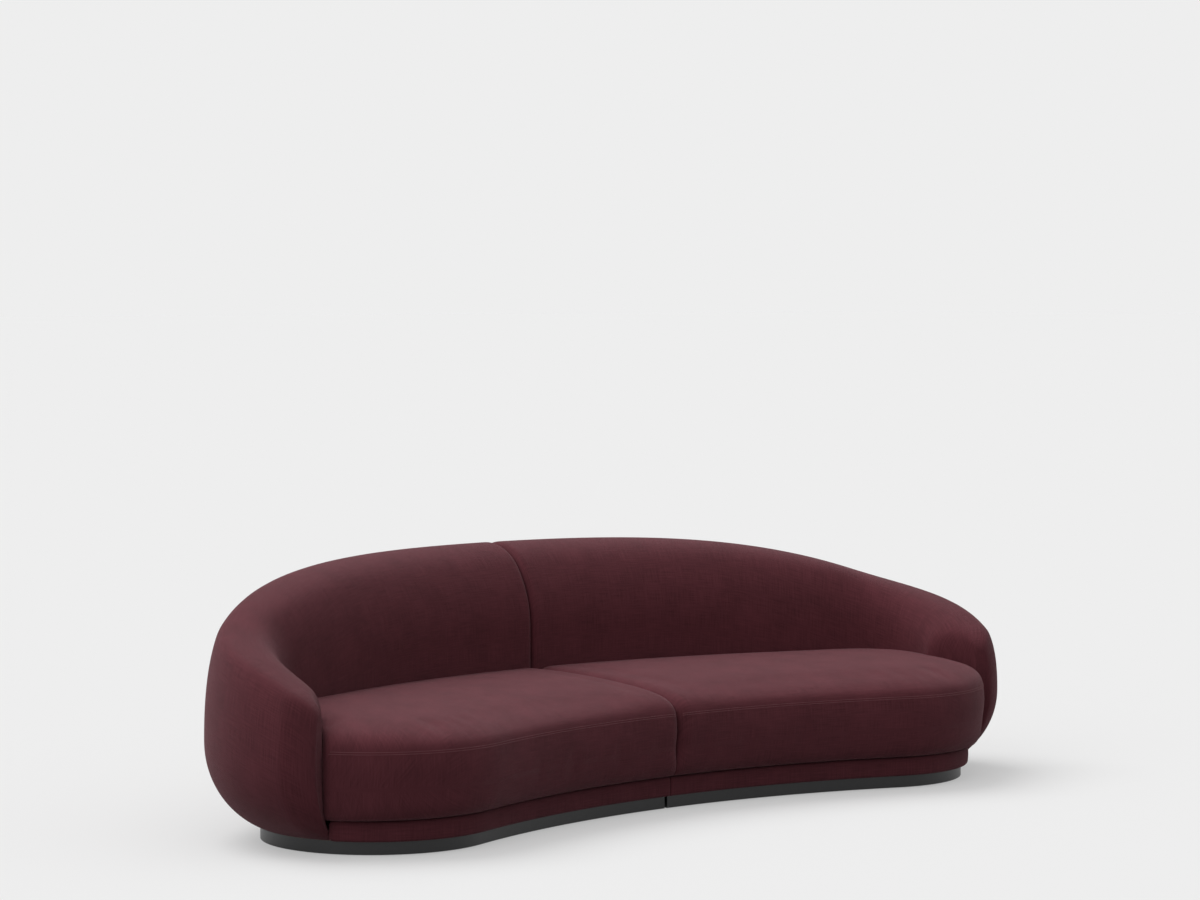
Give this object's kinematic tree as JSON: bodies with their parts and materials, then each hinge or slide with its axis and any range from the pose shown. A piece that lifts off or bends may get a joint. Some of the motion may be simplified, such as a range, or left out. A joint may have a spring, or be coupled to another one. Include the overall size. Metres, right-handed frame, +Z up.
{
  "type": "curved sofa",
  "caption": "Low curved sofa in two upholstered halves that slide apart, with a back that runs down into the arms, on a recessed plinth.",
  "frame": {"origin": "on the floor under the middle of the sofa's bounding box, in the plane of the seam between the halves", "axes": "+X along the sofa's length, towards the right half as seen by someone facing the sofa; +Y from the front to the back; +Z up"},
  "size_m": [2.8034, 1.1931, 0.73],
  "materials": {
    "upholstery": "wine red fine woven upholstery fabric with a soft sheen",
    "plinth_satin": "black satin lacquer",
    "block_timber": "raw softwood",
    "frame_timber": "raw planed softwood",
    "panel_plywood": "raw birch plywood",
    "rib_plywood": "raw plywood",
    "back_fibreboard": "raw thin board",
    "webbing": "woven elastic webbing",
    "dust_cloth": "thin black non-woven cloth",
    "seat_foam": "cut upholstery foam",
    "steel": "zinc plated steel",
    "glide_plastic": "black moulded plastic"
  },
  "bodies": {
    "left_module": {"left_back_board": "back_fibreboard", "left_back_cover": "upholstery", "left_back_rib_1": "rib_plywood", "left_back_rib_2": "rib_plywood", "left_back_rib_3": "rib_plywood", "left_back_rib_4": "rib_plywood", "left_back_rib_5": "rib_plywood", "left_base_panel": "panel_plywood", "left_base_rail": "upholstery", "left_connector_clip": "steel", "left_dust_cover": "dust_cloth", "left_front_rail": "frame_timber", "left_glides": "glide_plastic", "left_panel_screws": "steel", "left_plinth_block_1": "block_timber", "left_plinth_block_2": "block_timber", "left_plinth_block_3": "block_timber", "left_plinth_block_4": "block_timber", "left_plinth_block_5": "block_timber", "left_plinth_ring": "plinth_satin", "left_rear_rail": "frame_timber", "left_seam_rail": "frame_timber", "left_seat_core": "seat_foam", "left_seat_cover": "upholstery", "left_seat_strap_1": "webbing", "left_seat_strap_2": "webbing", "left_seat_strap_3": "webbing", "left_seat_strap_4": "webbing", "left_seat_strap_5": "webbing", "left_top_rail": "frame_timber"},
    "right_module": {"right_back_board": "back_fibreboard", "right_back_cover": "upholstery", "right_back_rib_1": "rib_plywood", "right_back_rib_2": "rib_plywood", "right_back_rib_3": "rib_plywood", "right_back_rib_4": "rib_plywood", "right_back_rib_5": "rib_plywood", "right_base_panel": "panel_plywood", "right_base_rail": "upholstery", "right_connector_blade": "steel", "right_dust_cover": "dust_cloth", "right_front_rail": "frame_timber", "right_glides": "glide_plastic", "right_panel_screws": "steel", "right_plinth_block_1": "block_timber", "right_plinth_block_2": "block_timber", "right_plinth_block_3": "block_timber", "right_plinth_block_4": "block_timber", "right_plinth_block_5": "block_timber", "right_plinth_ring": "plinth_satin", "right_rear_rail": "frame_timber", "right_seam_rail": "frame_timber", "right_seat_core": "seat_foam", "right_seat_cover": "upholstery", "right_seat_strap_1": "webbing", "right_seat_strap_2": "webbing", "right_seat_strap_3": "webbing", "right_seat_strap_4": "webbing", "right_seat_strap_5": "webbing", "right_top_rail": "frame_timber"}
  },
  "joints": [
    {"name": "module_slide", "type": "slide", "parent": "left_module", "child": "right_module", "axis": [1, 0, 0], "range_m": [0, 0.15]}
  ]
}
